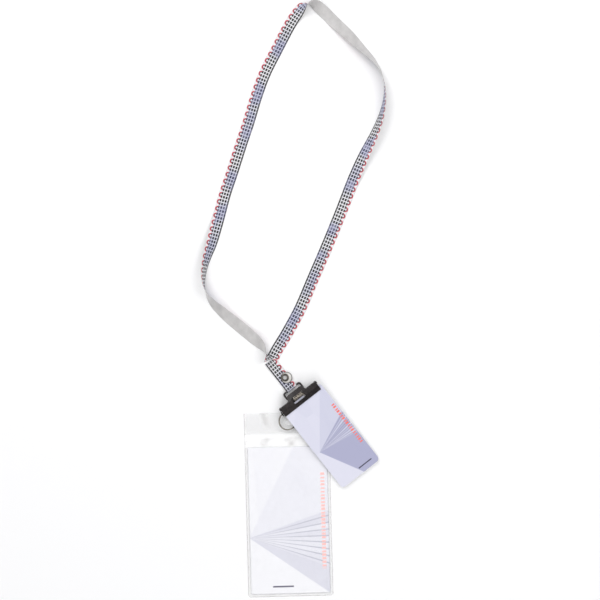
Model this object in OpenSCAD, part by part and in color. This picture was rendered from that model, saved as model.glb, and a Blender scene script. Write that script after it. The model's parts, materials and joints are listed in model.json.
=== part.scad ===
// Lanyard badge holder laid out on a table: a flat woven neck ribbon, a bulldog clip that
// grips a badge card, and a clear ticket pouch hung from a split ring at the clip's end.
// Origin: the axis of the eyelet, on the table plane. +Z is up, +Y runs to the neck end.

/* [Ribbon] */
// Width of the neck ribbon
ribbon_w = 15; // [14:0.5:16]
// Thickness of one ply of ribbon
ribbon_t = 0.5; // [0.4:0.05:0.5]
// Length of the doubled tail above the eyelet
tail_top = 28; // [20:1:30]

/* [Eyelet] */
// Radius of the hole through the eyelet
eyelet_bore_r = 2.5; // [2:0.1:2.6]
// Radius of the eyelet's front flange
eyelet_flange_r = 5; // [4.5:0.1:5.2]
// Radius of the rimmed washer under the front flange
washer_r = 7.2; // [7:0.1:7.4]
// Radius of the plain washer behind the ribbon
back_r = 5.75; // [5:0.05:6]

/* [Clip] */
// Turn of the clip and the ribbon's tail about the eyelet, in degrees
clip_turn = 38; // [36:1:40]
// Width of the clip's jaws
jaw_w = 56; // [54:1:58]
// Thickness of the clip's sheet steel
sheet_t = 0.8; // [0.7:0.05:0.9]
// Depth of the jaws from the hinge to the lip
jaw_reach = 10.2; // [10:0.1:10.6]
// Droop of the closed jaws and the card, in degrees
jaw_tilt = 3; // [2.9:0.1:3.1]
// Radius of the hinge pin
pin_r = 1.2; // [1.1:0.05:1.3]
// Turns of the clip's spring
spring_turns = 11; // [8:1:11]

/* [Card] */
// Width of the badge card
card_w = 59; // [57:1:60]
// Length of the badge card
card_l = 122; // [110:1:124]
// Thickness of the badge card
card_t = 0.8; // [0.6:0.1:0.8]

/* [Split ring] */
// Outer radius of the split ring
ring_r = 11.5; // [11.3:0.1:11.6]
// Width of the ring's flat wire, measured from the ring's centre outwards
ring_wire = 1.6; // [1.4:0.1:1.7]
// Height of the ring's two turns together
ring_h = 1.8; // [1.6:0.1:1.8]

/* [Pouch] */
// Width of the pouch
pouch_w = 106; // [100:1:110]
// Height of the pouch
pouch_h = 230; // [222:1:232]
// Thickness of the pouch's clear film
film_t = 0.4; // [0.3:0.05:0.4]
// Height of the welded header strip
header_h = 27; // [26:1:28]
// Height of the open mouth between the header and the front film
mouth_h = 16; // [14:1:18]

/* [Hidden] */
$fn = 64;
fit = 0.05;
sweep_sides = 8;
sweep_rings = 79;

// The loop ring that the ribbon's tail is folded round, in the clip's frame.
wire_r = 1.1;
loop_x = [-14.5, 10.5];
loop_y = [-24.5, -15.5];
loop_z = 2.2;
loop_corner = 2;
tail_x = -2;
tail_lift_y = [-9, -10.5];
barrel_wall = 0.5;
washer_shift = 1.8;
washer_t = 0.25;
washer_gap = 0.02;
washer_rim = 0.45;

// The clip's hinge, in the clip's frame, and the places of its parts about that hinge.
jaw_x = -1;
hinge_y = -28;
hinge_z = 9.5;
jaw_half = 4.4;
jaw_top = 1.6;
ear_r = 2.6;
tongue_x = [-9, 5];
curl_fit = 0.08;
curl_wall = 0.65;
lever_x = [-14, 11];
lever_tip = 9.3;
window_x = [-10, 7];
window_y = [-5.2, 3];
spring_r = 2.6;
spring_wire = 0.5;
spring_x = [-7.6, 5.6];

// The wire eye at the clip's end, the split ring in it and the pouch on that ring.
eye_pos = [-30.6, -34, 4.5];
eye_r = 2.6;
eye_wire = 0.6;
eye_shank = [-30.6, -24];
eye_clear = 0.5;
ring_pos = [3.2, -54.2, 3.75];
ring_tilt = 14;
ring_tilt_to = 20;
ring_gap = 0.3;
pouch_top = [1.5, -43.5];
pouch_turn = 1.5;
header_rise = 3;
slot_pos = [9, -12.5];
slot_half = 7;
slot_r = 3;
rim_w = 3;
pocket_h = 0.8;

// The neck ribbon's route: x, y and the ribbon's roll in degrees, 0 with its print upwards.
route = [
    [-15.5, 23.5, 0], [-10, 34.5, 0], [3.5, 57, 0], [19.5, 87, 0], [35.5, 124.5, 0],
    [48.5, 154.5, 0], [61, 184.5, 0], [73, 214.5, 0], [84.5, 244.5, 4], [97.5, 274.5, 22],
    [112, 304.5, 46], [120, 326, 62], [124, 346, 78], [124, 364, 90], [119, 382, 102],
    [109, 397, 118], [95, 411.5, 136], [80, 427, 158], [65, 441, 172], [50, 455.5, 186],
    [38.5, 464.5, 215], [30, 466, 270], [22, 463, 325], [14, 453, 352], [5, 439, 360],
    [-10.5, 409.5, 360], [-25.5, 379.5, 360], [-36.5, 349.5, 360], [-45.5, 319.5, 360],
    [-55.5, 289.5, 360], [-65, 259.5, 360], [-75, 229.5, 360], [-83, 199.5, 364],
    [-91, 169.5, 388], [-96, 154.5, 404], [-100, 139.5, 420], [-101.5, 124.5, 434],
    [-99.5, 109.5, 452], [-91, 94.5, 485], [-75.5, 79.5, 512], [-57.5, 64.5, 528],
    [-39.5, 49.5, 520], [-31, 41.5, 500], [-25.5, 34, 468], [-22.5, 27.5, 440], [-19.7, 22.1, 375]
];
crossing_rise = 0.6;
crossing_knots = 5;

// Frames and helpers

module on_clip() {
    rotate([0, 0, clip_turn])
    children();
}

module on_jaw() {
    on_clip()
    translate([0, hinge_y, hinge_z])
    rotate([jaw_tilt, 0, 0])
    children();
}

module on_pouch() {
    translate([pouch_top[0], pouch_top[1], 0])
    rotate([0, 0, pouch_turn])
    children();
}

module on_ring() {
    translate(ring_pos)
    rotate([0, 0, ring_tilt_to])
    rotate([0, ring_tilt, 0])
    children();
}

// Extrudes a (y, z) outline along X.
module along_x(span) {
    translate([span[0], 0, 0])
    rotate([90, 0, 90])
    linear_extrude(span[1] - span[0])
    children();
}

module rod_x(span, r) {
    translate([span[0], 0, 0])
    rotate([0, 90, 0])
    cylinder(h = span[1] - span[0], r = r);
}

module rounded_plate(w, l, t, r) {
    linear_extrude(t)
    union() {
        translate([r - w / 2, -l])
        square([w - 2 * r, l]);
        translate([-w / 2, r - l])
        square([w, l - 2 * r]);
        for (x = [r - w / 2, w / 2 - r], y = [-r, r - l])
            translate([x, y])
            circle(r);
    }
}

// The neck ribbon: a flat section swept along the route

function spline(p0, p1, p2, p3, t) =
    0.5 * (2 * p1 + t * (p2 - p0) + t * t * (2 * p0 - 5 * p1 + 4 * p2 - p3)
    + t * t * t * (3 * p1 - p0 - 3 * p2 + p3));
function knot(i) = route[max(0, min(len(route) - 1, i))];
function place(s) = let (i = min(floor(s), len(route) - 2))
    spline(knot(i - 1), knot(i), knot(i + 1), knot(i + 2), s - i);
function lift(roll) = abs(sin(roll)) * ribbon_w / 2 + ribbon_t / 2;
function crossing(s) = crossing_rise * max(0, min(1, 1 + (s + 2 - len(route)) / crossing_knots));
function point(s) = let (p = place(s)) [p[0], p[1], lift(p[2]) + crossing(s)];
function heading(s) = let (a = place(max(0, s - 0.05)), b = place(s + 0.05))
    atan2(b[1] - a[1], b[0] - a[0]);
function ring_at(s) = let (c = point(s), h = heading(s), roll = place(s)[2])
    [for (k = [0:sweep_sides - 1]) let (corner = section(k))
        c + [sin(h) * cos(roll), -cos(h) * cos(roll), sin(roll)] * corner[0]
        + [-sin(h) * sin(roll), cos(h) * sin(roll), cos(roll)] * corner[1]];
function section(k) = let (side = k < 2 || k > 5 ? 1 : -1, inset = k == 0 || k == 3 || k == 4 || k == 7)
    [side * (ribbon_w / 2 - (inset ? 0 : ribbon_t / 2)), (k < 4 ? 1 : -1) * ribbon_t / (inset ? 4 : 2)];

module neck_ribbon() {
    steps = sweep_rings - 1;
    rings = [for (i = [0:steps]) each ring_at(i * (len(route) - 1) / steps)];
    // the two faces of each twisted stretch share one diagonal, so the cloth keeps its thickness
    walls = [for (i = [0:steps - 1], k = [0:sweep_sides - 1])
        let (a = i * sweep_sides + k, b = i * sweep_sides + (k + 1) % sweep_sides)
        each k < 4
            ? [[a, b, a + sweep_sides], [b, b + sweep_sides, a + sweep_sides]]
            : [[a, b, b + sweep_sides], [a, b + sweep_sides, a + sweep_sides]]];
    start = [for (k = [sweep_sides - 1:-1:0]) k];
    finish = [for (k = [0:sweep_sides - 1]) steps * sweep_sides + k];
    color("gainsboro")
    polyhedron(points = rings, faces = concat([start, finish], walls));
}

// The doubled tail, folded round the loop ring and pinned by the eyelet

module ribbon_tail() {
    fold_r = loop_z - ribbon_t;
    low = ribbon_t;
    color("lightsteelblue")
    on_clip()
    difference() {
        along_x([tail_x - ribbon_w / 2, tail_x + ribbon_w / 2])
        difference() {
            union() {
                translate([loop_y[1], loop_z])
                circle(fold_r);
                polygon([[loop_y[1], low], [tail_top, low], [tail_top, low + 2 * ribbon_t],
                    [tail_lift_y[0], low + 2 * ribbon_t], [loop_y[1], loop_z + fold_r]]);
            }
            translate([loop_y[1], loop_z])
            circle(fold_r - ribbon_t);
            polygon([[loop_y[1], low + ribbon_t], [tail_lift_y[1], low + ribbon_t],
                [loop_y[1], loop_z + fold_r - ribbon_t]]);
        }
        cylinder(h = 8, r = eyelet_bore_r + 0.6, center = true);
    }
}

module eyelet() {
    flange_z = 3 * ribbon_t + washer_t + washer_gap;
    outer = eyelet_flange_r - 0.4;
    color("silver")
    rotate_extrude() {
        translate([eyelet_bore_r, 0])
        square([barrel_wall, flange_z + 0.7]);
        translate([eyelet_bore_r, flange_z])
        square([outer - eyelet_bore_r, 0.7]);
        translate([outer, flange_z])
        intersection() {
            circle(0.4);
            square(1);
        }
    }
}

// The washer's outer edge stands a little off the eyelet's centre, as it was set.
module eyelet_washer() {
    color("silver")
    translate([0, 0, 3 * ribbon_t])
    difference() {
        union() {
            translate([washer_shift, 0, 0])
            cylinder(h = washer_t, r = washer_r);
            translate([washer_shift, 0, 0])
            rotate_extrude()
            translate([washer_r - washer_rim, 0])
            square([washer_rim, 0.65]);
        }
        translate([0, 0, -1])
        cylinder(h = 3, r = eyelet_bore_r + barrel_wall + fit);
    }
}

module eyelet_back() {
    color("gray")
    difference() {
        cylinder(h = ribbon_t, r = back_r);
        translate([0, 0, -1])
        cylinder(h = 3, r = eyelet_bore_r + barrel_wall + fit);
    }
}

// The black wire loop between the ribbon and the clip

module loop_ring() {
    cx = [loop_x[0] + loop_corner, loop_x[1] - loop_corner];
    cy = [loop_y[0] + loop_corner, loop_y[1] - loop_corner];
    color("#1c1a1b")
    on_clip()
    translate([0, 0, loop_z]) {
        for (y = loop_y)
            translate([0, y, 0])
            rod_x(cx, wire_r);
        for (x = loop_x)
            translate([x, cy[0], 0])
            rotate([-90, 0, 0])
            cylinder(h = cy[1] - cy[0], r = wire_r);
        for (i = [0, 1], j = [0, 1])
            translate([cx[i], cy[j], 0])
            rotate([0, 0, i == 1 ? (j == 1 ? 0 : 270) : (j == 1 ? 90 : 180)])
            rotate_extrude(angle = 90)
            translate([loop_corner, 0])
            circle(wire_r);
    }
}

// The clip. Profiles are in (y, z) about the hinge, with the jaw that side = 1 puts on top.

module jaw_profile(side) {
    lip = -jaw_reach;
    lip_z = card_t / 2 + fit + 0.5;
    mirror([0, side < 0 ? 1 : 0]) {
        polygon([[jaw_top, jaw_half], [-4, jaw_half], [lip - 0.2, lip_z + 0.45], [lip - 0.2, lip_z - 0.2],
            [lip + 0.3, lip_z - 0.3], [-4.2, jaw_half - sheet_t], [jaw_top, jaw_half - sheet_t]]);
        translate([lip, lip_z])
        circle(0.5);
    }
}

module ear(x, side) {
    along_x([x, x + sheet_t])
    difference() {
        union() {
            circle(ear_r);
            mirror([0, side < 0 ? 1 : 0])
            polygon([[-ear_r - 1, jaw_half - 0.4], [-ear_r, 0], [ear_r, 0], [jaw_top, jaw_half - 0.4]]);
        }
        circle(pin_r + fit);
    }
}

module back_jaw() {
    span = [jaw_x - jaw_w / 2, jaw_x + jaw_w / 2];
    curl_r = wire_r + curl_fit;
    color("#1f1c1d") {
        on_jaw() {
            along_x(span)
            jaw_profile(-1);
            ear(span[0], -1);
            ear(span[1] - sheet_t, -1);
        }
        on_clip()
        along_x(tongue_x)
        difference() {
            union() {
                translate([loop_y[0], loop_z])
                circle(curl_r + curl_wall);
                polygon([[hinge_y - 1, hinge_z - jaw_half], [hinge_y + 1.5, hinge_z - jaw_half],
                    [loop_y[0] - 1.5, loop_z + 0.6], [loop_y[0] - 0.5, loop_z + 1.6],
                    [hinge_y + 2, hinge_z - jaw_half + sheet_t], [hinge_y - 1, hinge_z - jaw_half + sheet_t]]);
            }
            translate([loop_y[0], loop_z])
            circle(curl_r);
        }
    }
}

// Plan of the front jaw: the bar, and the lever with a rounded tip and filleted roots.
module front_plan() {
    root_r = 4;
    tip_r = 4;
    difference() {
        union() {
            translate([jaw_x - jaw_w / 2, -jaw_reach - 2])
            square([jaw_w, jaw_reach + 2 + jaw_top]);
            translate([lever_x[0] - root_r, 0])
            square([lever_x[1] - lever_x[0] + 2 * root_r, jaw_top + root_r]);
            translate([lever_x[0], 0])
            square([lever_x[1] - lever_x[0], lever_tip - tip_r]);
            translate([lever_x[0] + tip_r, 0])
            square([lever_x[1] - lever_x[0] - 2 * tip_r, lever_tip]);
            for (x = [lever_x[0] + tip_r, lever_x[1] - tip_r])
                translate([x, lever_tip - tip_r])
                circle(tip_r);
        }
        for (x = [lever_x[0] - root_r, lever_x[1] + root_r])
            translate([x, jaw_top + root_r])
            circle(root_r);
        translate([window_x[0], window_y[0]])
        square([window_x[1] - window_x[0], window_y[1] - window_y[0]]);
    }
}

module front_jaw() {
    inset = sheet_t + 0.2;
    color("#231f20")
    on_jaw() {
        intersection() {
            translate([0, 0, -1])
            linear_extrude(12)
            front_plan();
            along_x([jaw_x - jaw_w / 2, jaw_x + jaw_w / 2])
            union() {
                jaw_profile(1);
                polygon([[jaw_top - 0.5, jaw_half - sheet_t], [jaw_top + 0.3, jaw_half - sheet_t],
                    [lever_tip + 0.3, jaw_half + 0.9], [lever_tip, jaw_half + 1.7],
                    [jaw_top, jaw_half], [jaw_top - 0.5, jaw_half]]);
            }
        }
        ear(jaw_x - jaw_w / 2 + inset, 1);
        ear(jaw_x + jaw_w / 2 - inset - sheet_t, 1);
    }
}

module hinge_pin() {
    ends = [jaw_x - jaw_w / 2 - 0.1, jaw_x + jaw_w / 2 + 0.1];
    color("#2a2728")
    on_jaw() {
        rod_x(ends, pin_r);
        rod_x([ends[0] - 0.9, ends[0]], 1.9);
        rod_x([ends[1], ends[1] + 0.9], 1.9);
    }
}

// The torsion spring: a coil round the pin, with a straight leg against each jaw.

function coil_point(k, n) = let (a = -90 - 360 * spring_turns * k / n - 180 * k / n)
    [spring_x[0] + (spring_x[1] - spring_x[0]) * k / n, spring_r * cos(a), spring_r * sin(a)];

module clip_spring() {
    n = 14 * spring_turns;
    sides = 6;
    leg = 6;
    first = [spring_x[0], -leg, -1.75];
    last = [spring_x[1], -leg, 1.75];
    path = concat([first], [for (k = [0:n]) coil_point(k, n)], [last]);
    ways = [for (i = [0:len(path) - 1]) path[min(i + 1, len(path) - 1)] - path[max(i - 1, 0)]];
    rings = [for (i = [0:len(path) - 1]) let (t = ways[i] / norm(ways[i]), u = [1, 0, 0] - t * t[0],
        v = u / norm(u), w = cross(t, v)) each [for (k = [0:sides - 1])
            path[i] + spring_wire * (v * cos(60 * k) + w * sin(60 * k))]];
    last_ring = (len(path) - 1) * sides;
    walls = [for (i = [0:len(path) - 2], k = [0:sides - 1]) let (a = i * sides, b = (k + 1) % sides)
        each [[a + k, a + k + sides, a + b], [a + b, a + k + sides, a + b + sides]]];
    color("#c9c6bf")
    on_jaw()
    polyhedron(points = rings, faces = concat([[for (k = [0:sides - 1]) k],
        [for (k = [sides - 1:-1:0]) last_ring + k]], walls));
}

// A wire eye with its shank welded under the clip's end, for the split ring

module ring_eye() {
    color("#1c1a1b")
    on_clip() {
        translate(eye_pos)
        rotate([0, 90, 0])
        rotate_extrude()
        translate([eye_r, 0])
        circle(eye_wire);
        translate([0, eye_pos[1] + eye_r, eye_pos[2]])
        rod_x(eye_shank, eye_wire);
    }
}

// The split ring: two turns of flat wire, with the step where one turn ends

module ring_band(gap) {
    rotate_extrude()
    translate([ring_r - ring_wire - gap, -ring_h / 2 - gap])
    square([ring_wire + 2 * gap, ring_h + 2 * gap]);
}

module split_ring() {
    groove = 0.12;
    color("#b9b4ab")
    on_ring()
    difference() {
        ring_band(0);
        rotate_extrude() {
            translate([ring_r - 0.2, -groove / 2])
            square([1, groove]);
            translate([ring_r - ring_wire - 0.8, -groove / 2])
            square([1, groove]);
        }
    }
}

// The badge card, with its upper end between the jaws

module badge_card() {
    color("#b9bdd8")
    on_jaw()
    translate([jaw_x + 2, -3.3, -card_t / 2])
    rounded_plate(card_w, card_l, card_t, 5);
}

// The pouch. Its outlines are in the pouch's own frame, downwards from its top edge.

// (y, z) outline of one ply of the header, which rises to the ring.
module header_ply(z) {
    polygon([[-header_h, z], [0, header_rise + z], [0, header_rise + z + film_t],
        [-header_h, z + film_t]]);
}

module header_cuts() {
    on_pouch()
    translate([slot_pos[0], slot_pos[1], -1])
    linear_extrude(8) {
        translate([-slot_half, -slot_r])
        square([2 * slot_half, 2 * slot_r]);
        for (x = [-slot_half, slot_half])
            translate([x, 0])
            circle(slot_r);
    }
    on_ring()
    ring_band(ring_gap);
    on_clip()
    translate([eye_pos[0], eye_pos[1], -1])
    cylinder(h = 12, r = eye_r + eye_wire + eye_clear);
}

module pouch_back() {
    color("#eef0f4", 0.5)
    difference() {
        on_pouch() {
            translate([0, -header_h + 0.01, 0])
            rounded_plate(pouch_w, pouch_h - header_h, film_t, 2.5);
            along_x([-pouch_w / 2, pouch_w / 2])
            header_ply(0);
            translate([-pouch_w / 2, -header_h - 5, 0])
            cube([pouch_w, 5, film_t]);
        }
        header_cuts();
    }
}

module pouch_header() {
    color("#f4f5f7", 0.6)
    difference() {
        on_pouch()
        along_x([-pouch_w / 2, pouch_w / 2])
        header_ply(film_t);
        header_cuts();
    }
}

module pouch_front() {
    front_h = pouch_h - header_h - mouth_h;
    color("#eef0f4", 0.35)
    on_pouch()
    translate([0, -header_h - mouth_h, film_t])
    difference() {
        rounded_plate(pouch_w, front_h, pocket_h + film_t, 2.5);
        translate([0, 5, -1])
        rounded_plate(pouch_w - 2 * rim_w, front_h + 5 - rim_w, pocket_h + 1, 1);
    }
}

module ticket() {
    ticket_w = pouch_w - 2 * rim_w - 1;
    ticket_h = pouch_h - header_h - mouth_h - rim_w - 0.5;
    color("#dcdff0")
    on_pouch()
    translate([0, -header_h - mouth_h, film_t + 0.15])
    rounded_plate(ticket_w, ticket_h, 0.5, 2);
}

neck_ribbon();
ribbon_tail();
eyelet();
eyelet_washer();
eyelet_back();
loop_ring();
back_jaw();
front_jaw();
hinge_pin();
clip_spring();
ring_eye();
split_ring();
badge_card();
pouch_back();
pouch_header();
pouch_front();
ticket();
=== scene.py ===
import json
import math

import bmesh
import bpy
from mathutils import Matrix, Vector, noise


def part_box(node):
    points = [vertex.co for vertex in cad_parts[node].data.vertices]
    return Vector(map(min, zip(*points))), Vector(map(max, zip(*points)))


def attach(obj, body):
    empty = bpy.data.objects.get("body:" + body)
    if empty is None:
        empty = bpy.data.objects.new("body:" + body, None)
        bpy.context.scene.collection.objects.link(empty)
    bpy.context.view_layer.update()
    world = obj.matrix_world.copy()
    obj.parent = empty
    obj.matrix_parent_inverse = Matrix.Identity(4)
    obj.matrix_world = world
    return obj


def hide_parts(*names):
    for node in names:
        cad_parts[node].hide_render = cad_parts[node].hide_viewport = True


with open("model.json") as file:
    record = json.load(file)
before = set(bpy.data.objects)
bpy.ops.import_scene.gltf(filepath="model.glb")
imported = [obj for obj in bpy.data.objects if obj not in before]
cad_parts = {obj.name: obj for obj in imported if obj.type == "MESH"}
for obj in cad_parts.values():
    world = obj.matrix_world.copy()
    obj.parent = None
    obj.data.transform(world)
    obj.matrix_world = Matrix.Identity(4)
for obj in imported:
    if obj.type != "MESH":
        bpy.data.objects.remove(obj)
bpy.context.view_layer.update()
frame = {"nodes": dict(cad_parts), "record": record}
MM = 0.001

# Sizes in metres, beside those that the frame gives
RIBBON_W, RIBBON_T = 0.015, 0.0005
FILM_T = 0.0004
POUCH_W, POUCH_H = 0.106, 0.230
HEADER_H, MOUTH_H = 0.027, 0.016
HEADER_RISE = 0.003
RIM_W = 0.003
SLOT = (0.009, -0.0125)
SLOT_HALF, SLOT_R = 0.007, 0.003
TICKET_W, TICKET_H = 0.099, 0.1835

# The neck ribbon's route: x and y in metres, and its roll in degrees, 0 with the print up
ROUTE = [
    (-0.0155, 0.0235, 0), (-0.010, 0.0345, 0), (0.0035, 0.057, 0), (0.0195, 0.087, 0),
    (0.0355, 0.1245, 0), (0.0485, 0.1545, 0), (0.061, 0.1845, 0), (0.073, 0.2145, 0),
    (0.0845, 0.2445, 4), (0.0975, 0.2745, 22), (0.112, 0.3045, 46), (0.120, 0.326, 62),
    (0.124, 0.346, 78), (0.124, 0.364, 90), (0.119, 0.382, 102), (0.109, 0.397, 118),
    (0.095, 0.4115, 136), (0.080, 0.427, 158), (0.065, 0.441, 172), (0.050, 0.4555, 186),
    (0.0385, 0.4645, 215), (0.030, 0.466, 270), (0.022, 0.463, 325), (0.014, 0.453, 352),
    (0.005, 0.439, 360), (-0.0105, 0.4095, 360), (-0.0255, 0.3795, 360), (-0.0365, 0.3495, 360),
    (-0.0455, 0.3195, 360), (-0.0555, 0.2895, 360), (-0.065, 0.2595, 360), (-0.075, 0.2295, 360),
    (-0.083, 0.1995, 364), (-0.091, 0.1695, 388), (-0.096, 0.1545, 404), (-0.100, 0.1395, 420),
    (-0.1015, 0.1245, 434), (-0.0995, 0.1095, 452), (-0.091, 0.0945, 485), (-0.0755, 0.0795, 512),
    (-0.0575, 0.0645, 528), (-0.0395, 0.0495, 520), (-0.031, 0.0415, 500), (-0.0255, 0.034, 468),
    (-0.0225, 0.0275, 440), (-0.0197, 0.0221, 375),
]
CROSSING_RISE, CROSSING_KNOTS = 0.0006, 5

JOINTS = {joint["name"]: joint for joint in frame["record"]["behaviour"]["joints"]}
HINGE = Vector(JOINTS["clip_open"]["pos_m"])
LOOP_BAR = Vector(JOINTS["strap_swing"]["pos_m"])
BAR_AXIS = Vector(JOINTS["strap_swing"]["axis"]).normalized()
RING_PLACE = Vector(JOINTS["ring_turn"]["pos_m"])
RING_AXIS = Vector(JOINTS["ring_turn"]["axis"]).normalized()
POUCH_UP = Vector(JOINTS["ticket_slide"]["axis"]).normalized()


def deselect():
    bpy.ops.object.select_all(action="DESELECT")


# The camera looks straight down

VIEW_WIDTH = 0.75
VIEW_CENTRE = (0.01875, 0.0969)
LENS, SENSOR = 85, 36


def make_camera():
    deselect()
    height = VIEW_WIDTH * LENS / SENSOR
    bpy.ops.object.camera_add(location=(*VIEW_CENTRE, height), rotation=(0, 0, 0))
    camera = bpy.context.object
    camera.name = "camera"
    camera.data.lens = LENS
    camera.data.sensor_width = SENSOR
    bpy.context.scene.camera = camera


make_camera()


# Materials

def rgb(red, green, blue):
    """A display colour of 0 to 255 as the linear colour that a node takes."""
    linear = [(c / 255) / 12.92 if c <= 10 else (((c / 255) + 0.055) / 1.055) ** 2.4
              for c in (red, green, blue)]
    return (*linear, 1.0)


class Nodes:
    """Short calls for the nodes of one material or node group."""

    def __init__(self, tree):
        self.tree = tree

    def feed(self, socket, value):
        if isinstance(value, bpy.types.NodeSocket):
            self.tree.links.new(value, socket)
        else:
            socket.default_value = value

    def node(self, kind, inputs=None, **settings):
        made = self.tree.nodes.new(kind)
        for key, value in settings.items():
            setattr(made, key, value)
        for key, value in (inputs or {}).items():
            self.feed(made.inputs[key], value)
        return made

    def math(self, operation, a, b=0.0, c=0.0):
        made = self.node("ShaderNodeMath", {0: a, 1: b, 2: c}, operation=operation)
        return made.outputs[0]

    def mix(self, factor, a, b):
        made = self.node("ShaderNodeMix", {0: factor, 6: a, 7: b}, data_type="RGBA")
        return made.outputs[2]

    def step(self, value, low, high):
        made = self.node("ShaderNodeMapRange", {0: value, 1: low, 2: high},
                         interpolation_type="SMOOTHSTEP")
        return made.outputs[0]

    def fade(self, value, low, high):
        """1 below low, 0 above high."""
        return self.math("SUBTRACT", 1.0, self.step(value, low, high))

    def reach(self, x, y):
        """How far (x, y) is from zero."""
        squares = self.math("ADD", self.math("MULTIPLY", x, x), self.math("MULTIPLY", y, y))
        return self.math("SQRT", squares)

    def noise(self, vector, scale, detail=2.0):
        made = self.node("ShaderNodeTexNoise", {"Vector": vector, "Scale": scale,
                                                "Detail": detail})
        return made.outputs["Fac"]

    def split(self, vector):
        made = self.node("ShaderNodeSeparateXYZ", {0: vector})
        return made.outputs[0], made.outputs[1], made.outputs[2]

    def place(self, centre=(0, 0, 0), turn=0.0):
        """Object coordinates about a centre, turned about Z."""
        coords = self.node("ShaderNodeTexCoord")
        made = self.node("ShaderNodeMapping", {"Vector": coords.outputs["Object"],
                                               "Location": centre, "Rotation": (0, 0, turn)},
                         vector_type="TEXTURE")
        return made.outputs[0]

    def along(self):
        """The two UV values: across the ribbon, and along it in ribbon widths."""
        uv = self.node("ShaderNodeUVMap", uv_map="along")
        across, length, _ = self.split(uv.outputs[0])
        return across, length

    def bump(self, height, strength, distance):
        made = self.node("ShaderNodeBump", {"Height": height, "Strength": strength,
                                            "Distance": distance})
        return made.outputs[0]


def material(name, paint):
    """A material whose paint function returns the Principled shader's inputs."""
    made = bpy.data.materials.new(name)
    made.use_nodes = True
    made.node_tree.nodes.clear()
    nodes = Nodes(made.node_tree)
    shader = nodes.node("ShaderNodeBsdfPrincipled", paint(nodes))
    output = nodes.node("ShaderNodeOutputMaterial")
    nodes.feed(output.inputs["Surface"], shader.outputs[0])
    return made


def group(name, sockets_in, sockets_out, build):
    """A shader node group: build(nodes, inputs) returns what each output shows."""
    made = bpy.data.node_groups.new(name, "ShaderNodeTree")
    for label, kind in sockets_in:
        made.interface.new_socket(name=label, in_out="INPUT", socket_type=kind)
    for label, kind in sockets_out:
        made.interface.new_socket(name=label, in_out="OUTPUT", socket_type=kind)
    nodes = Nodes(made)
    start = nodes.node("NodeGroupInput")
    finish = nodes.node("NodeGroupOutput")
    for label, value in build(nodes, start.outputs).items():
        nodes.feed(finish.inputs[label], value)
    return made


def build_weave(nodes, given):
    """Crossing threads, high where one lies over the other."""
    across = nodes.math("SINE", nodes.math("MULTIPLY", given["Across"], given["Threads"]))
    along = nodes.math("SINE", nodes.math("MULTIPLY", given["Along"], given["Threads"]))
    crossed = nodes.math("MULTIPLY", across, along)
    height = nodes.math("MULTIPLY_ADD", crossed, 0.5, 0.5)
    return {"Height": height, "Shade": nodes.step(height, 0.1, 0.75)}


WEAVE = group("thread_weave",
              [("Across", "NodeSocketFloat"), ("Along", "NodeSocketFloat"),
               ("Threads", "NodeSocketFloat")],
              [("Height", "NodeSocketFloat"), ("Shade", "NodeSocketFloat")], build_weave)


def build_wear(nodes, given):
    """Fine scratches and soft smudges."""
    stretched = nodes.node("ShaderNodeMapping", {"Vector": given["Vector"],
                                                 "Scale": (1.0, 14.0, 6.0)})
    scratch = nodes.step(nodes.noise(stretched.outputs[0], 420.0, 4.0), 0.6, 0.74)
    smudge_and_shadow = nodes.step(nodes.noise(given["Vector"], 140.0, 3.0), 0.38, 0.72)
    return {"Scratches": scratch, "Smudges": smudge_and_shadow}


WEAR = group("scratches_and_smudges", [("Vector", "NodeSocketVector")],
             [("Scratches", "NodeSocketFloat"), ("Smudges", "NodeSocketFloat")], build_wear)

THREAD_PITCH = 0.00042
THREADS = 2 * math.pi * RIBBON_W / THREAD_PITCH


def weave_of(nodes, across, along):
    made = nodes.node("ShaderNodeGroup", {}, node_tree=WEAVE)
    for label, value in (("Across", across), ("Along", along), ("Threads", THREADS)):
        nodes.feed(made.inputs[label], value)
    return made.outputs


def wear_of(nodes, vector):
    made = nodes.node("ShaderNodeGroup", {}, node_tree=WEAR)
    nodes.feed(made.inputs["Vector"], vector)
    return made.outputs


# The ribbon's print, across and along it in ribbon widths
FIRST_COLUMN, COLUMN_PITCH = 0.06, 0.225
SQUARE_HALF, SQUARE_BLUR = 0.36, 0.05
EDGE_BAND, EDGE_BLUR = 0.1, 0.02
SCALLOP_PITCH, SCALLOP_LINE = 0.589, 0.77
INK_ARC, RED_ARC, ARC_BLUR = (0.1, 0.145), (0.16, 0.215), 0.015


def in_square(nodes, run):
    """1 across the middle of every whole step of run."""
    part = nodes.math("SUBTRACT", nodes.math("FRACT", run), 0.5)
    return nodes.fade(nodes.math("ABSOLUTE", part), SQUARE_HALF - SQUARE_BLUR,
                      SQUARE_HALF + SQUARE_BLUR)


def in_arc(nodes, reach, arc):
    return nodes.math("MULTIPLY", nodes.step(reach, arc[0] - ARC_BLUR, arc[0]),
                      nodes.fade(reach, arc[1], arc[1] + ARC_BLUR))


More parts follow.
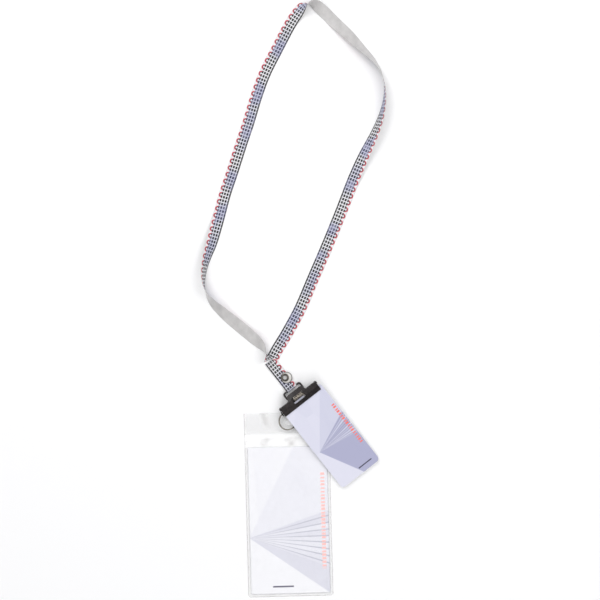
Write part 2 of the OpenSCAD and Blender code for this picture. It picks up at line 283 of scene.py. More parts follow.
def grid_print(nodes, across, along):
    """Dark squares in columns and rows on a pale ground, some of them paler."""
    column_run = nodes.math("DIVIDE", nodes.math("ADD", across, FIRST_COLUMN), COLUMN_PITCH)
    row_run = nodes.math("DIVIDE", along, SCALLOP_PITCH / 2)
    square = nodes.math("MULTIPLY", in_square(nodes, column_run), in_square(nodes, row_run))
    band = nodes.fade(across, EDGE_BAND - EDGE_BLUR, EDGE_BAND + EDGE_BLUR)
    square = nodes.math("MAXIMUM", square, band)
    patch_place = nodes.node("ShaderNodeCombineXYZ", {0: nodes.math("MULTIPLY", across, 0.8),
                                                      1: along})
    tone = nodes.noise(patch_place.outputs[0], 0.4, 1.0)
    navy = nodes.step(tone, 0.48, 0.6)
    cell_place = nodes.node("ShaderNodeCombineXYZ", {0: nodes.math("FLOOR", column_run),
                                                     1: nodes.math("FLOOR", row_run)})
    cell = nodes.node("ShaderNodeTexWhiteNoise", {"Vector": cell_place.outputs[0]},
                      noise_dimensions="2D").outputs["Value"]
    dark = nodes.mix(navy, rgb(10, 8, 12), rgb(46, 48, 82))
    dark = nodes.mix(nodes.math("MULTIPLY", nodes.step(cell, 0.55, 0.95), navy), dark,
                     rgb(128, 128, 156))
    ground = nodes.mix(nodes.step(tone, 0.4, 0.64), rgb(236, 236, 240), rgb(194, 196, 220))
    return nodes.mix(square, ground, dark)


def printed_ribbon(nodes):
    """A grid of dark squares on a pale ground, with coral-edged scallops down one side."""
    across, along = nodes.along()
    printed = grid_print(nodes, across, along)
    turn = nodes.math("FRACT", nodes.math("DIVIDE", along, SCALLOP_PITCH))
    run = nodes.math("MULTIPLY", nodes.math("SUBTRACT", turn, 0.5), SCALLOP_PITCH)
    side = nodes.math("SUBTRACT", across, SCALLOP_LINE)
    reach = nodes.reach(run, side)
    outer = nodes.step(side, -0.02, 0.02)
    printed = nodes.mix(outer, printed, rgb(240, 238, 242))
    for arc, ink in ((INK_ARC, rgb(58, 40, 50)), (RED_ARC, rgb(214, 58, 78))):
        printed = nodes.mix(nodes.math("MULTIPLY", in_arc(nodes, reach, arc), outer), printed, ink)
    weave = weave_of(nodes, across, along)
    colour = nodes.mix(weave["Shade"], nodes.mix(0.2, printed, rgb(20, 20, 26)), printed)
    return {"Base Color": colour, "Roughness": 0.5, "Sheen Weight": 0.1,
            "Normal": nodes.bump(weave["Height"], 0.5, 0.0001)}


def plain_ribbon(nodes):
    """The ribbon's unprinted satin back, with long floats, and painted shade in soft patches for a
    few faint creases.
    """
    across, along = nodes.along()
    weave = weave_of(nodes, across, along)
    place = nodes.node("ShaderNodeCombineXYZ", {0: across, 1: along})
    # Painted shade: the satin goes grey in soft patches, standing in for faint creases
    cloud = nodes.noise(place.outputs[0], 1.6, 3.0)
    base = nodes.mix(cloud, rgb(176, 174, 174), rgb(222, 220, 219))
    colour = nodes.mix(weave["Shade"], nodes.mix(0.18, base, rgb(110, 108, 112)), base)
    return {"Base Color": colour, "Roughness": 0.38, "Sheen Weight": 0.25,
            "Normal": nodes.bump(weave["Height"], 0.4, 0.0001)}


def nickel(nodes):
    wear = wear_of(nodes, nodes.place())
    colour = nodes.mix(wear["Smudges"], rgb(204, 197, 186), rgb(158, 150, 139))
    rough = nodes.math("MULTIPLY_ADD", wear["Smudges"], 0.16, 0.2)
    return {"Base Color": colour, "Metallic": 1.0, "Roughness": rough,
            "Normal": nodes.bump(wear["Scratches"], 0.08, 0.0001)}


def aged_nickel(nodes):
    wear = wear_of(nodes, nodes.place())
    colour = nodes.mix(wear["Smudges"], rgb(122, 118, 112), rgb(72, 68, 64))
    return {"Base Color": colour, "Metallic": 1.0, "Roughness": 0.3,
            "Normal": nodes.bump(wear["Scratches"], 0.1, 0.0001)}


# Radii where the washer's painted shade at its rim starts and where it is full
WASHER_RIM_SHADE = (0.0063, 0.0067)


def washer_plate(nodes):
    """A bright face, with painted shade in a dark ring where it meets the turned-up rim."""
    low, high = (Vector(corner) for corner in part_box("eyelet_washer"))
    x, y, _ = nodes.split(nodes.place(tuple((low + high) / 2)))
    # Painted shade: the face turns near black outwards from the foot of the turned-up rim
    rim = nodes.step(nodes.reach(x, y), *WASHER_RIM_SHADE)
    wear = wear_of(nodes, nodes.place())
    colour = nodes.mix(wear["Smudges"], rgb(240, 238, 235), rgb(214, 210, 206))
    return {"Base Color": nodes.mix(rim, colour, rgb(52, 48, 46)), "Metallic": 0.35,
            "Roughness": 0.3, "Normal": nodes.bump(wear["Scratches"], 0.08, 0.0001)}


def dark_lacquer(nodes):
    """Brown-black lacquer on sheet steel, a little rubbed."""
    wear = wear_of(nodes, nodes.place())
    colour = nodes.mix(wear["Smudges"], rgb(27, 21, 22), rgb(42, 34, 35))
    colour = nodes.mix(wear["Scratches"], colour, rgb(84, 74, 74))
    rough = nodes.math("MULTIPLY_ADD", wear["Smudges"], 0.18, 0.24)
    peel = nodes.noise(nodes.place(), 1100.0, 2.0)
    return {"Base Color": colour, "Metallic": 0.35, "Roughness": rough, "Coat Weight": 0.35,
            "Normal": nodes.bump(peel, 0.12, 0.0001)}


RAY_BLUR = 0.01
CORNER_BLUR = 0.012


def fan_mask(nodes, place, focus, low, high, rays):
    """Straight rays from one point between two angles, each with its own depth of tone."""
    x, y, _ = nodes.split(place)
    dx = nodes.math("SUBTRACT", x, focus[0])
    dy = nodes.math("SUBTRACT", y, focus[1])
    angle = nodes.math("ARCTAN2", dy, dx)
    count = nodes.math("MULTIPLY", angle, rays)
    tone = nodes.node("ShaderNodeTexWhiteNoise", {"W": nodes.math("FLOOR", count)},
                      noise_dimensions="1D").outputs["Value"]
    line = nodes.fade(nodes.math("FRACT", count), 0.06, 0.3)
    fan = nodes.math("MULTIPLY", nodes.step(angle, low - RAY_BLUR, low + RAY_BLUR),
                     nodes.fade(angle, high - RAY_BLUR, high + RAY_BLUR))
    return tone, line, fan, angle


def box_mask(nodes, place, x_span, y_span):
    x, y, _ = nodes.split(place)
    inside = nodes.math("MULTIPLY", nodes.math("GREATER_THAN", x, x_span[0]),
                        nodes.math("LESS_THAN", x, x_span[1]))
    high = nodes.math("MULTIPLY", nodes.math("GREATER_THAN", y, y_span[0]),
                      nodes.math("LESS_THAN", y, y_span[1]))
    return nodes.math("MULTIPLY", inside, high)


SHORTEST_DASH, DASH_SPREAD = 0.4, 0.35


def dash_column(nodes, place, x_span, y_span, pitch):
    """A column of short blocks of uneven length, in place of any words."""
    _, y, _ = nodes.split(place)
    count = nodes.math("FLOOR", nodes.math("DIVIDE", y, pitch))
    length = nodes.node("ShaderNodeTexWhiteNoise", {"W": count}, noise_dimensions="1D")
    part = nodes.math("FRACT", nodes.math("DIVIDE", y, pitch))
    end = nodes.math("MULTIPLY_ADD", length.outputs["Value"], DASH_SPREAD, SHORTEST_DASH)
    shown = nodes.math("LESS_THAN", part, end)
    return nodes.math("MULTIPLY", shown, box_mask(nodes, place, x_span, y_span))


CARD_TURN = math.atan2(BAR_AXIS.y, BAR_AXIS.x)
CARD_HOME = HINGE + BAR_AXIS * MM
POUCH_TURN = math.atan2(POUCH_UP.y, POUCH_UP.x) - math.pi / 2


def artwork(nodes, place, inks, focus, low, high, rays, corner, wing):
    """Rays from one point between the angles low and high, a deep corner from low down to
    corner, and a shaded facet from high up to wing."""
    paper, shade, deep, ray_ink = inks
    tone, line, fan, angle = fan_mask(nodes, place, focus, low, high, rays)
    facet_place = nodes.node("ShaderNodeMapping", {"Vector": place, "Scale": (1.0, 0.35, 1.0),
                                                   "Rotation": (0, 0, 0.5)})
    facet = nodes.node("ShaderNodeTexVoronoi", {"Vector": facet_place.outputs[0], "Scale": 42.0})
    flat = nodes.split(facet.outputs["Color"])[0]
    colour = nodes.mix(nodes.math("MULTIPLY", flat, 0.5), paper, shade)
    facet_part = nodes.math("SUBTRACT", nodes.step(angle, high - RAY_BLUR, high + RAY_BLUR),
                            nodes.step(angle, wing - CORNER_BLUR, wing + CORNER_BLUR))
    colour = nodes.mix(nodes.math("MULTIPLY", facet_part, 0.75), colour, shade)
    colour = nodes.mix(fan, colour, nodes.mix(line, nodes.mix(tone, shade, deep), ray_ink))
    below = nodes.fade(angle, low - CORNER_BLUR, low + CORNER_BLUR)
    above = nodes.step(angle, corner - RAY_BLUR, corner + RAY_BLUR)
    colour = nodes.mix(nodes.math("MULTIPLY", below, above), colour, deep)
    return nodes.mix(nodes.math("SUBTRACT", 1.0, above), colour, paper)


def card_plane():
    """A point on the card's upper face, and that face's normal."""
    faces = [face for face in frame["nodes"]["badge_card"].data.polygons if face.normal.z > 0.9]
    face = max(faces, key=lambda item: item.area)
    return face.center.copy(), face.normal.copy()


def bare_paper(nodes):
    """The ticket's unprinted back and edges."""
    grain = nodes.noise(nodes.place(), 700.0, 3.0)
    return {"Base Color": rgb(243, 243, 245), "Roughness": 0.55,
            "Normal": nodes.bump(grain, 0.06, 0.0001)}


PRINT_DEPTH = 0.0002


def printed_card(nodes):
    """Printed on its upper face, bare on its edges and back."""
    place = nodes.place(tuple(CARD_HOME), CARD_TURN)
    inks = (rgb(222, 222, 237), rgb(203, 204, 224), rgb(172, 173, 202), rgb(136, 136, 168))
    colour = artwork(nodes, place, inks, focus=(-0.024, -0.072), low=-0.14, high=0.42,
                     rays=16.0, corner=-1.08, wing=0.91)
    dashes = dash_column(nodes, place, (0.0235, 0.0275), (-0.094, -0.034), 0.0036)
    colour = nodes.mix(dashes, colour, rgb(246, 120, 112))
    bar = box_mask(nodes, place, (0.002, 0.022), (-0.1185, -0.1170))
    colour = nodes.mix(bar, colour, rgb(70, 68, 92))
    point, normal = card_plane()
    depth = nodes.node("ShaderNodeVectorMath", {0: nodes.place(), 1: tuple(normal)},
                       operation="DOT_PRODUCT").outputs["Value"]
    upper = nodes.math("GREATER_THAN", depth, point.dot(normal) - PRINT_DEPTH)
    colour = nodes.mix(upper, rgb(234, 234, 240), colour)
    grain = nodes.noise(place, 900.0, 2.0)
    return {"Base Color": colour, "Roughness": 0.3, "Coat Weight": 0.2,
            "Normal": nodes.bump(grain, 0.05, 0.0001)}


def pouch_origin():
    low, high = (Vector(corner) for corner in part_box("pouch_back"))
    centre = (low + high) / 2
    top = centre + POUCH_UP * (POUCH_H / 2)
    return Vector((top.x, top.y, 0))


POUCH_TOP = pouch_origin()


def printed_ticket(nodes):
    place = nodes.place(tuple(POUCH_TOP), POUCH_TURN)
    inks = (rgb(242, 242, 246), rgb(231, 231, 239), rgb(218, 218, 229), rgb(186, 186, 200))
    colour = artwork(nodes, place, inks, focus=(-0.050, -0.1560), low=-0.36, high=0.32,
                     rays=12.0, corner=-0.62, wing=1.1)
    dashes = dash_column(nodes, place, (0.0405, 0.0455), (-0.196, -0.076), 0.0044)
    colour = nodes.mix(dashes, colour, rgb(255, 196, 190))
    bar = box_mask(nodes, place, (-0.022, 0.004), (-0.2185, -0.2165))
    colour = nodes.mix(bar, colour, rgb(96, 94, 116))
    grain = nodes.noise(place, 700.0, 3.0)
    return {"Base Color": colour, "Roughness": 0.55, "Normal": nodes.bump(grain, 0.06, 0.0001)}


# Where the film's weld, painted shade and painted shadow lie, in metres
CUT_EDGE_SHADE = (0.0004, 0.0012)
WELD_INSET, WELD_HALF = 0.0017, (0.0003, 0.0009)
SHADOW_LOW, SHADOW_HIGH = (-0.0436, -0.041), (-0.0335, -0.0285)
FOLD_SLOPE, FOLD_X, FOLD_HALF, FOLD_LOW = 0.25, 0.0285, (0.0005, 0.009), (-0.024, -0.012)


def clear_film(nodes, alpha, tint):
    """Soft vinyl that has gone slightly milky, with flow marks and a pressed weld round it, greyed
    by painted shade along its cut edge and one crease and by a painted shadow across its mouth.
    """
    place = nodes.place(tuple(POUCH_TOP), POUCH_TURN)
    cloud = nodes.noise(place, 36.0, 4.0)
    milky = nodes.math("MULTIPLY_ADD", nodes.step(cloud, 0.35, 0.7), 0.035, alpha)
    x, y, _ = nodes.split(place)
    rim = nodes.math("MINIMUM", nodes.math("SUBTRACT", POUCH_W / 2, nodes.math("ABSOLUTE", x)),
                     nodes.math("ADD", y, POUCH_H))
    # Painted shade: a grey line along the film's cut edge
    edge = nodes.fade(rim, *CUT_EDGE_SHADE)
    hem = nodes.math("ABSOLUTE", nodes.math("ADD", y, HEADER_H - 0.0013))
    inset = nodes.math("ABSOLUTE", nodes.math("SUBTRACT", rim, WELD_INSET))
    weld = nodes.fade(nodes.math("MINIMUM", inset, hem), *WELD_HALF)
    # Painted shadow: a grey band across the pocket's mouth, broken up by noise
    mouth = nodes.math("MULTIPLY", nodes.step(y, *SHADOW_LOW), nodes.fade(y, *SHADOW_HIGH))
    smudge_and_shadow = nodes.math("MULTIPLY", mouth, nodes.step(nodes.noise(place, 24.0, 3.0), 0.4, 0.75))
    # Painted shade: a grey line down one crease in the film
    slant = nodes.math("MULTIPLY_ADD", y, FOLD_SLOPE, FOLD_X)
    fold = nodes.math("ABSOLUTE", nodes.math("ADD", x, slant))
    fold_shade = nodes.math("MULTIPLY", nodes.fade(fold, *FOLD_HALF), nodes.step(y, *FOLD_LOW))
    # Painted shade and shadow together: they grey the film and make it less clear
    film_shade = nodes.math("MAXIMUM", nodes.math("MULTIPLY", edge, 0.22),
                      nodes.math("MAXIMUM", nodes.math("MULTIPLY", smudge_and_shadow, 0.42),
                                 nodes.math("MULTIPLY", fold_shade, 0.16)))
    ripple = nodes.noise(place, 150.0, 3.0)
    height = nodes.math("MULTIPLY_ADD", weld, 0.8, ripple)
    colour = nodes.mix(cloud, tint, rgb(252, 252, 252))
    colour = nodes.mix(nodes.math("MINIMUM", nodes.math("MULTIPLY", film_shade, 3.0), 1.0), colour,
                       rgb(176, 173, 172))
    clear = nodes.math("ADD", nodes.math("MULTIPLY_ADD", weld, 0.05, milky), film_shade)
    return {"Base Color": colour, "Roughness": 0.2, "IOR": 1.5, "Coat Weight": 0.3,
            "Alpha": nodes.math("MINIMUM", clear, 1.0), "Normal": nodes.bump(height, 0.25, 0.0004)}


def thin_film(nodes):
    return clear_film(nodes, 0.02, rgb(238, 239, 240))


def header_film(nodes):
    return clear_film(nodes, 0.03, rgb(240, 240, 241))


PRINT = material("ribbon_print", printed_ribbon)
PLAIN = material("ribbon_back", plain_ribbon)
NICKEL = material("nickel_plate", nickel)
AGED = material("aged_nickel", aged_nickel)
WASHER = material("washer_plate", washer_plate)
LACQUER = material("dark_lacquer", dark_lacquer)
CARD = material("card_print", printed_card)
TICKET = material("ticket_print", printed_ticket)
TICKET_BACK = material("ticket_paper", bare_paper)
FILM = material("clear_film", thin_film)
HEADER = material("header_film", header_film)


# The ribbon: one flat woven section swept along a path

def spline(a, b, c, d, t):
    return 0.5 * (2 * b + t * (c - a) + t * t * (2 * a - 5 * b + 4 * c - d)
                  + t ** 3 * (3 * b - a - 3 * c + d))


def route_knot(index):
    return Vector(ROUTE[max(0, min(len(ROUTE) - 1, index))])


def route_place(s):
    i = min(int(s), len(ROUTE) - 2)
    return spline(route_knot(i - 1), route_knot(i), route_knot(i + 1), route_knot(i + 2), s - i)


def route_frame(s):
    """The ribbon's centre, the direction to its printed right edge, and its printed face."""
    place = route_place(s)
    before, after = route_place(max(0, s - 0.05)), route_place(s + 0.05)
    heading = math.atan2(after.y - before.y, after.x - before.x)
    roll = math.radians(place.z)
    rise = CROSSING_RISE * max(0, min(1, 1 + (s + 2 - len(ROUTE)) / CROSSING_KNOTS))
    z = abs(math.sin(roll)) * RIBBON_W / 2 + RIBBON_T / 2 + rise
    side = Vector((math.sin(heading) * math.cos(roll), -math.cos(heading) * math.cos(roll),
                   math.sin(roll)))
    face = Vector((-math.sin(heading) * math.sin(roll), math.cos(heading) * math.sin(roll),
                   math.cos(roll)))
    return Vector((place.x, place.y, z)), side, face


def ribbon_section(thickness):
    """(across, up) points round the section, with a soft woven bead down each edge."""
    half, thick = RIBBON_W / 2, thickness / 2
    across = [-0.97, -0.9, -0.6, -0.2, 0.2, 0.6, 0.9, 0.97]
    top = [(half * a, thick * (1.0 if abs(a) < 0.95 else 0.96)) for a in reversed(across)]
    under = [(half * a, -thick * (1.0 if abs(a) < 0.95 else 0.96)) for a in across]
    return [(half, 0.0)] + top + [(-half, 0.0)] + under


def sweep_ribbon(name, frames, thickness=RIBBON_T):
    """A closed ribbon mesh: printed on its face, plain on its back, with UVs along it."""
    section = ribbon_section(thickness)
    count = len(section)
    printed = range(1, count // 2 - 1)
    mesh = bmesh.new()
    uv = mesh.loops.layers.uv.new("along")
    rings, length, last = [], 0.0, None
    for centre, side, face in frames:
        if last is not None:
            length += (centre - last).length
        last = centre
        ring = [mesh.verts.new(centre + side * a + face * u) for a, u in section]
        rings.append((ring, length))
    for (ring, start), (onward, end) in zip(rings, rings[1:]):
        for k in range(count):
            after = (k + 1) % count
            quad = mesh.faces.new((ring[k], ring[after], onward[after], onward[k]))
            quad.material_index = 0 if k in printed else 1
            quad.smooth = True
            for loop, (point, reach) in zip(quad.loops, ((k, start), (after, start),
                                                         (after, end), (k, end))):
                loop[uv].uv = (section[point][0] / RIBBON_W + 0.5, reach / RIBBON_W)
    for (ring, _), turn in ((rings[0], -1), (rings[-1], 1)):
        cap = mesh.faces.new(ring[::turn])
        cap.material_index = 1
    bmesh.ops.recalc_face_normals(mesh, faces=mesh.faces)
    data = bpy.data.meshes.new(name)
    mesh.to_mesh(data)
    mesh.free()
    piece = bpy.data.objects.new(name, data)
    bpy.context.scene.collection.objects.link(piece)
    data.materials.append(PRINT)
    data.materials.append(PLAIN)
    return piece, length


ROUTE_STEPS = 620


def make_neck_ribbon():
    frames = [route_frame(i * (len(ROUTE) - 1) / ROUTE_STEPS) for i in range(ROUTE_STEPS + 1)]
    piece, length = sweep_ribbon("neck_ribbon_cloth", frames)
    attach(piece, "strap")
    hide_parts("neck_ribbon")
    return piece


make_neck_ribbon()


# Frames of the clip and the pouch

BAR_OUT = Vector((-BAR_AXIS.y, BAR_AXIS.x, 0))


def on_clip(x, y, z):
    """A point in metres in the clip's frame, about the eyelet."""
    return BAR_AXIS * x + BAR_OUT * y + Vector((0, 0, z))


def on_pouch(x, y, z):
    right = Vector((POUCH_UP.y, -POUCH_UP.x, 0))
    return POUCH_TOP + right * x + POUCH_UP * y + Vector((0, 0, z))


def finish_piece(piece, name, body, finish, replaced=()):
    piece.name = name
    if finish is not None:
        piece.data.materials.clear()
        piece.data.materials.append(finish)
    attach(piece, body)
    if replaced:
        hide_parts(*replaced)
    return piece


def apply_all(piece):
    """Applies every modifier, then the object's place, turn and size."""
    deselect()
    piece.select_set(True)
    bpy.context.view_layer.objects.active = piece
    for modifier in list(piece.modifiers):
        bpy.ops.object.modifier_apply(modifier=modifier.name)
    bpy.ops.object.transform_apply(location=True, rotation=True, scale=True)
    return piece


def cut(piece, cutter):
    """Cuts one closed solid out of another, and deletes the cutter."""
    boolean = piece.modifiers.new("cut", "BOOLEAN")
    boolean.operation = "DIFFERENCE"
    boolean.solver = "EXACT"
    boolean.object = cutter
    apply_all(piece)
    bpy.data.objects.remove(cutter, do_unlink=True)


# The doubled tail, folded round the wire loop, with the eyelet's hole through both plies

TAIL_X = -2 * MM
FRONT_Z, BACK_Z = 1.25 * MM, 0.75 * MM
FOLD_R = 1.45 * MM
TAIL_T = 0.46 * MM
EYELET_HOLE_R = 3.05 * MM


def tail_path():
    """(y, z) points from the front ply's top end, round the wire, to the back ply's."""
    bar_y = LOOP_BAR.dot(BAR_OUT)
    bar_z = LOOP_BAR.z
    front = [(y * MM, FRONT_Z) for y in range(28, -9, -1)]
    slope = [(y * MM, FRONT_Z + (bar_z + FOLD_R - FRONT_Z) * t)
             for y, t in ((-9.5, 0.06), (-11, 0.3), (-12.5, 0.6), (-14, 0.88), (-14.8, 0.98))]
    fold = [(bar_y + FOLD_R * math.cos(a), bar_z + FOLD_R * math.sin(a))
            for a in (math.radians(90 + 15 * k) for k in range(13))]
    back = [(y * MM, BACK_Z) for y in range(-14, 29)]
    return front + slope + fold + back


def make_tail():
    points = [on_clip(TAIL_X, y, z) for y, z in tail_path()]
    frames = []
    for i, point in enumerate(points):
        along = (points[min(i + 1, len(points) - 1)] - points[max(i - 1, 0)]).normalized()
        frames.append((point, BAR_AXIS, along.cross(BAR_AXIS)))
    piece, _ = sweep_ribbon("ribbon_tail_cloth", frames, TAIL_T)
    deselect()
    bpy.ops.mesh.primitive_cylinder_add(vertices=48, radius=EYELET_HOLE_R, depth=8 * MM,
                                        location=(0, 0, 0))
    cut(piece, apply_all(bpy.context.object))
    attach(piece, "strap")
    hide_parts("ribbon_tail")


make_tail()


def thread_finish(nodes):
    twist = nodes.noise(nodes.place(), 2600.0, 2.0)
    colour = nodes.mix(twist, rgb(206, 204, 210), rgb(240, 239, 242))
    return {"Base Color": colour, "Roughness": 0.7, "Normal": nodes.bump(twist, 0.4, 0.0001)}


# Stitches, in millimetres in the clip's frame
STITCH_ROWS, STITCH_Z = (25.5, 23.2), 1.54
STITCH_COUNT, STITCH_PITCH, FIRST_STITCH = 8, 1.8, -6.3
STITCH_SIZE, STITCH_ROUND = (1.25, 0.32, 0.22), 0.1


def make_stitches():
    """Two rows of thread across the top of the tail."""
    strands = []
    for y in STITCH_ROWS:
        for k in range(STITCH_COUNT):
            x = TAIL_X / MM + FIRST_STITCH + STITCH_PITCH * k
            deselect()
            bpy.ops.mesh.primitive_cube_add(size=1, location=on_clip(x * MM, y * MM, STITCH_Z * MM),
                                            rotation=(0, 0, CARD_TURN),
                                            scale=[side * MM for side in STITCH_SIZE])
            strand = bpy.context.object
            bpy.ops.object.transform_apply(location=True, rotation=True, scale=True)
            bevel = strand.modifiers.new("round", "BEVEL")
            bevel.width = STITCH_ROUND * MM
            bevel.segments = 2
            strands.append(apply_all(strand))
    deselect()
    for strand in strands:
        strand.select_set(True)
    bpy.context.view_layer.objects.active = strands[0]
    bpy.ops.object.join()
    bpy.ops.object.shade_smooth()
    thread = material("stitch_thread", thread_finish)
    finish_piece(strands[0], "tail_stitches", "strap", thread)


make_stitches()


# The pouch

FILM_COLUMNS, FILM_ROWS = 84, 150
FILM_CORNER = 2.5 * MM
CUTTER_RING_R, CUTTER_WIRE_R = 10.7 * MM, 1.45 * MM
CUTTER_EYE_R = 3.6 * MM


def smooth_step(value, low, high):
    t = max(0.0, min(1.0, (value - low) / (high - low)))
    return t * t * (3 - 2 * t)


def film_sheet(name, width, y_top, y_low, corner, height, thick):
    """A film with rounded lower corners, as (x, y) rows lifted by height(x, y)."""
    mesh = bmesh.new()
    grid = []
    for j in range(FILM_ROWS + 1):
        t = j / FILM_ROWS
        y = y_top + (y_low - y_top) * t
        inset = max(0.0, corner - (y - y_low))
        half = width / 2 - corner + math.sqrt(max(0.0, corner ** 2 - inset ** 2))
        line = []
        for i in range(FILM_COLUMNS + 1):
            x = half * (2 * i / FILM_COLUMNS - 1)
            line.append(mesh.verts.new(on_pouch(x, y, height(x, y))))
        grid.append(line)
    for upper, lower in zip(grid, grid[1:]):
        for i in range(FILM_COLUMNS):
            quad = mesh.faces.new((upper[i], lower[i], lower[i + 1], upper[i + 1]))
            quad.smooth = True
    data = bpy.data.meshes.new(name)
    mesh.to_mesh(data)
    mesh.free()
    piece = bpy.data.objects.new(name, data)
    bpy.context.scene.collection.objects.link(piece)
    solid = piece.modifiers.new("thickness", "SOLIDIFY")
    solid.thickness = thick
    solid.offset = 1.0
    return apply_all(piece)


def crease(x, y, scale, seed):
    return noise.noise(Vector((x * scale, y * scale * 0.45, seed)))


def slot_cutter():
    """The header slot as one solid with round ends."""
    centre = on_pouch(*SLOT, 0)
    deselect()
    bpy.ops.mesh.primitive_cylinder_add(vertices=48, radius=SLOT_R, depth=20 * MM,
                                        location=(0, 0, 0))
    cutter = bpy.context.object
    for vertex in cutter.data.vertices:
        vertex.co.x += SLOT_HALF if vertex.co.x > 0 else -SLOT_HALF
    cutter.location = centre
    cutter.rotation_euler = (0, 0, POUCH_TURN)
    return apply_all(cutter)


def ring_cutter():
    """A band a little fatter than the split ring, so that the film clears it."""
    deselect()
    bpy.ops.mesh.primitive_torus_add(major_segments=96, minor_segments=16,
                                     major_radius=CUTTER_RING_R, minor_radius=CUTTER_WIRE_R)
    cutter = bpy.context.object
    turn = Vector((0, 0, 1)).rotation_difference(RING_AXIS).to_matrix().to_4x4()
    cutter.matrix_world = Matrix.Translation(RING_PLACE) @ turn
    return apply_all(cutter)


def eye_cutter():
    """A round hole that the clip's wire eye passes through."""
    deselect()
    place = JOINTS["pouch_swing"]["pos_m"]
    bpy.ops.mesh.primitive_cylinder_add(vertices=48, radius=CUTTER_EYE_R, depth=24 * MM,
                                        location=(place[0], place[1], 0))
    return apply_all(bpy.context.object)


def header_lift(y):
    """The header's rise: none at its weld, and all of it at its top edge."""
    end = HEADER_H * 0.25
    return HEADER_RISE * smooth_step(y, -HEADER_H, end) / smooth_step(0, -HEADER_H, end)


def back_height(x, y):
    lift = header_lift(y) if y > -HEADER_H else 0.0
    fade = smooth_step(-y, 0.012, 0.05)
    ripple = 0.00018 * (1 + crease(x, y, 38, 3.0)) * fade
    return lift + ripple * smooth_step(POUCH_W / 2 - abs(x), 0.002, 0.012)


def header_height(x, y):
    return header_lift(y) + FILM_T + 0.0001


def front_height(x, y):
    """Welded down round the rim, and swelling over the ticket with shallow creases."""
    edge = min(POUCH_W / 2 - abs(x), y + POUCH_H)
    inner = smooth_step(edge, RIM_W * 0.8, RIM_W + 0.004)
    swell = 0.00042 * inner
    wave = 0.00024 * crease(x, y, 30, 7.0) + 0.00012 * crease(x, y, 90, 1.5)
    return 0.00068 + swell + (0.00012 + abs(wave)) * inner


def make_pouch():
    back = film_sheet("back_film", POUCH_W, 0.0, -POUCH_H, FILM_CORNER, back_height, FILM_T)
    header = film_sheet("header_strip", POUCH_W, 0.0, -HEADER_H, 0.3 * MM, header_height, FILM_T)
    front = film_sheet("front_film", POUCH_W, -HEADER_H - MOUTH_H, -POUCH_H, FILM_CORNER,
                       front_height, FILM_T)
    for piece in (back, header):
        cut(piece, slot_cutter())
        cut(piece, ring_cutter())
        cut(piece, eye_cutter())
    finish_piece(back, "pouch_back_film", "pouch", FILM, ("pouch_back",))
    finish_piece(header, "pouch_header_strip", "pouch", HEADER, ("pouch_header",))
    finish_piece(front, "pouch_front_film", "pouch", FILM, ("pouch_front",))
    # Stacked films would shade the ticket more than clear vinyl does
    for piece in (back, header, front):
        piece.visible_shadow = False


make_pouch()


TICKET_T = 0.00025


def ticket_height(x, y):
    return 0.00052 + 0.00006 * (1 + crease(x, y, 18, 9.0))


def make_ticket():
    top = -HEADER_H - MOUTH_H
    sheet = film_sheet("ticket", TICKET_W, top, top - TICKET_H, 2 * MM, ticket_height, TICKET_T)
    finish_piece(sheet, "ticket_paper", "ticket", TICKET, ("ticket",))
    sheet.data.materials.append(TICKET_BACK)
    for face in sheet.data.polygons:
        face.material_index = 1 if face.normal.z < 0.5 else 0


make_ticket()


# The split ring's outer turn ends in a short step

STEP_START, STEP_SWEEP, STEP_PARTS = math.radians(196), math.radians(52), 14
STEP_RADII = (9.98 * MM, 11.42 * MM)
STEP_FOOT, STEP_LOW, STEP_RISE = 0.86 * MM, 0.06 * MM, 0.25 * MM


def make_ring_step():
    """A tapered end of flat wire on the split ring's upper face."""
    turn = Vector((0, 0, 1)).rotation_difference(RING_AXIS).to_matrix()
    inner, outer = STEP_RADII
    deselect()
    bpy.ops.mesh.primitive_plane_add(size=1)
    step = bpy.context.object
    mesh = bmesh.new()
    rings = []
    for k in range(STEP_PARTS + 1):
        angle = STEP_START + STEP_SWEEP * k / STEP_PARTS
        rise = STEP_RISE * smooth_step(k / STEP_PARTS, 0.0, 0.8)
        ring = []
        for radius, z in ((inner, 0), (outer, 0), (outer, 1), (inner, 1)):
            level = STEP_FOOT + z * (STEP_LOW + rise)
            local = Vector((radius * math.cos(angle), radius * math.sin(angle), level))
            ring.append(mesh.verts.new(RING_PLACE + turn @ local))
        rings.append(ring)
    for a, b in zip(rings, rings[1:]):
        for k in range(4):
            mesh.faces.new((a[k], a[(k + 1) % 4], b[(k + 1) % 4], b[k]))
    mesh.faces.new(rings[0][::-1])
    mesh.faces.new(rings[-1])
    bmesh.ops.recalc_face_normals(mesh, faces=mesh.faces)
    mesh.to_mesh(step.data)
    mesh.free()
    bevel = step.modifiers.new("round", "BEVEL")
    bevel.width = 0.08 * MM
    bevel.segments = 2
    finish_piece(apply_all(step), "split_ring_end", "split_ring", AGED)


make_ring_step()


# The CAD nodes that stay, each with its finish

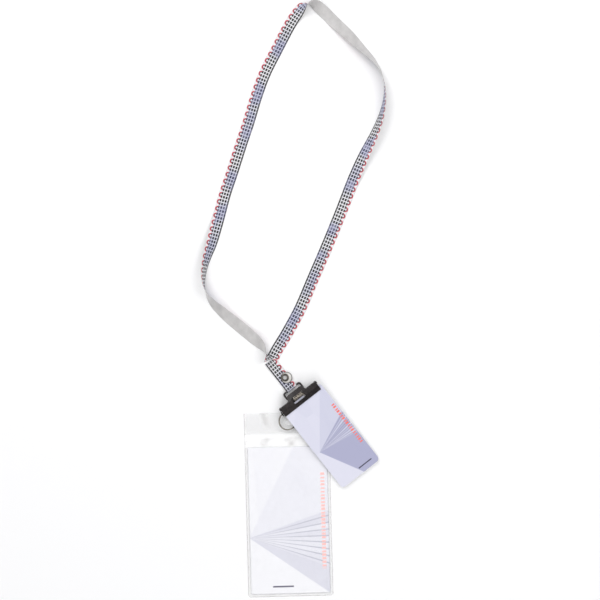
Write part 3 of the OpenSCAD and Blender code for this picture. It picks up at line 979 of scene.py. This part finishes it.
FINISHES = {
    "eyelet": AGED, "eyelet_washer": WASHER, "eyelet_back": NICKEL, "clip_spring": NICKEL,
    "split_ring": AGED, "loop_ring": LACQUER, "back_jaw": LACQUER, "front_jaw": LACQUER,
    "hinge_pin": LACQUER, "ring_eye": LACQUER, "badge_card": CARD,
}
for node_name, finish in FINISHES.items():
    node = frame["nodes"][node_name]
    for index in range(len(node.data.materials)):
        node.data.materials[index] = finish


# The table and the light

def floor_finish(nodes):
    grain = nodes.noise(nodes.place(), 60.0, 2.0)
    colour = nodes.mix(nodes.math("MULTIPLY", grain, 0.04), rgb(250, 250, 251), rgb(240, 240, 242))
    return {"Base Color": colour, "Roughness": 0.85}


# Each lamp's place, its width and its watts
LAMPS = (((-0.9, 1.3, 1.5), 1.3, 19), ((1.2, 0.5, 1.5), 1.3, 11), ((0.1, -1.3, 1.4), 1.1, 7))
LAMP_AIM = (0.02, 0.1, 0)


def make_stage():
    deselect()
    bpy.ops.mesh.primitive_plane_add(size=16, location=(0, 0.1, -0.0002))
    floor = bpy.context.object
    floor.name = "table"
    floor.data.materials.append(material("white_table", floor_finish))
    for place, size, power in LAMPS:
        deselect()
        bpy.ops.object.light_add(type="AREA", location=place)
        light = bpy.context.object
        light.data.size = size
        light.data.energy = power
        aim = Vector(LAMP_AIM) - Vector(place)
        light.rotation_euler = aim.to_track_quat("-Z", "Y").to_euler()
    world = bpy.data.worlds.new("studio")
    world.use_nodes = True
    nodes = Nodes(world.node_tree)
    coords = nodes.node("ShaderNodeTexCoord")
    height = nodes.split(coords.outputs["Generated"])[2]
    sky = nodes.mix(nodes.step(height, 0.06, 0.2), rgb(252, 252, 253), rgb(120, 120, 122))
    sky = nodes.mix(nodes.step(height, 0.3, 0.75), sky, rgb(232, 232, 232))
    backdrop = world.node_tree.nodes["Background"]
    nodes.feed(backdrop.inputs["Color"], sky)
    backdrop.inputs["Strength"].default_value = 0.8
    bpy.context.scene.world = world
    bpy.context.scene.view_settings.view_transform = "Standard"


make_stage()
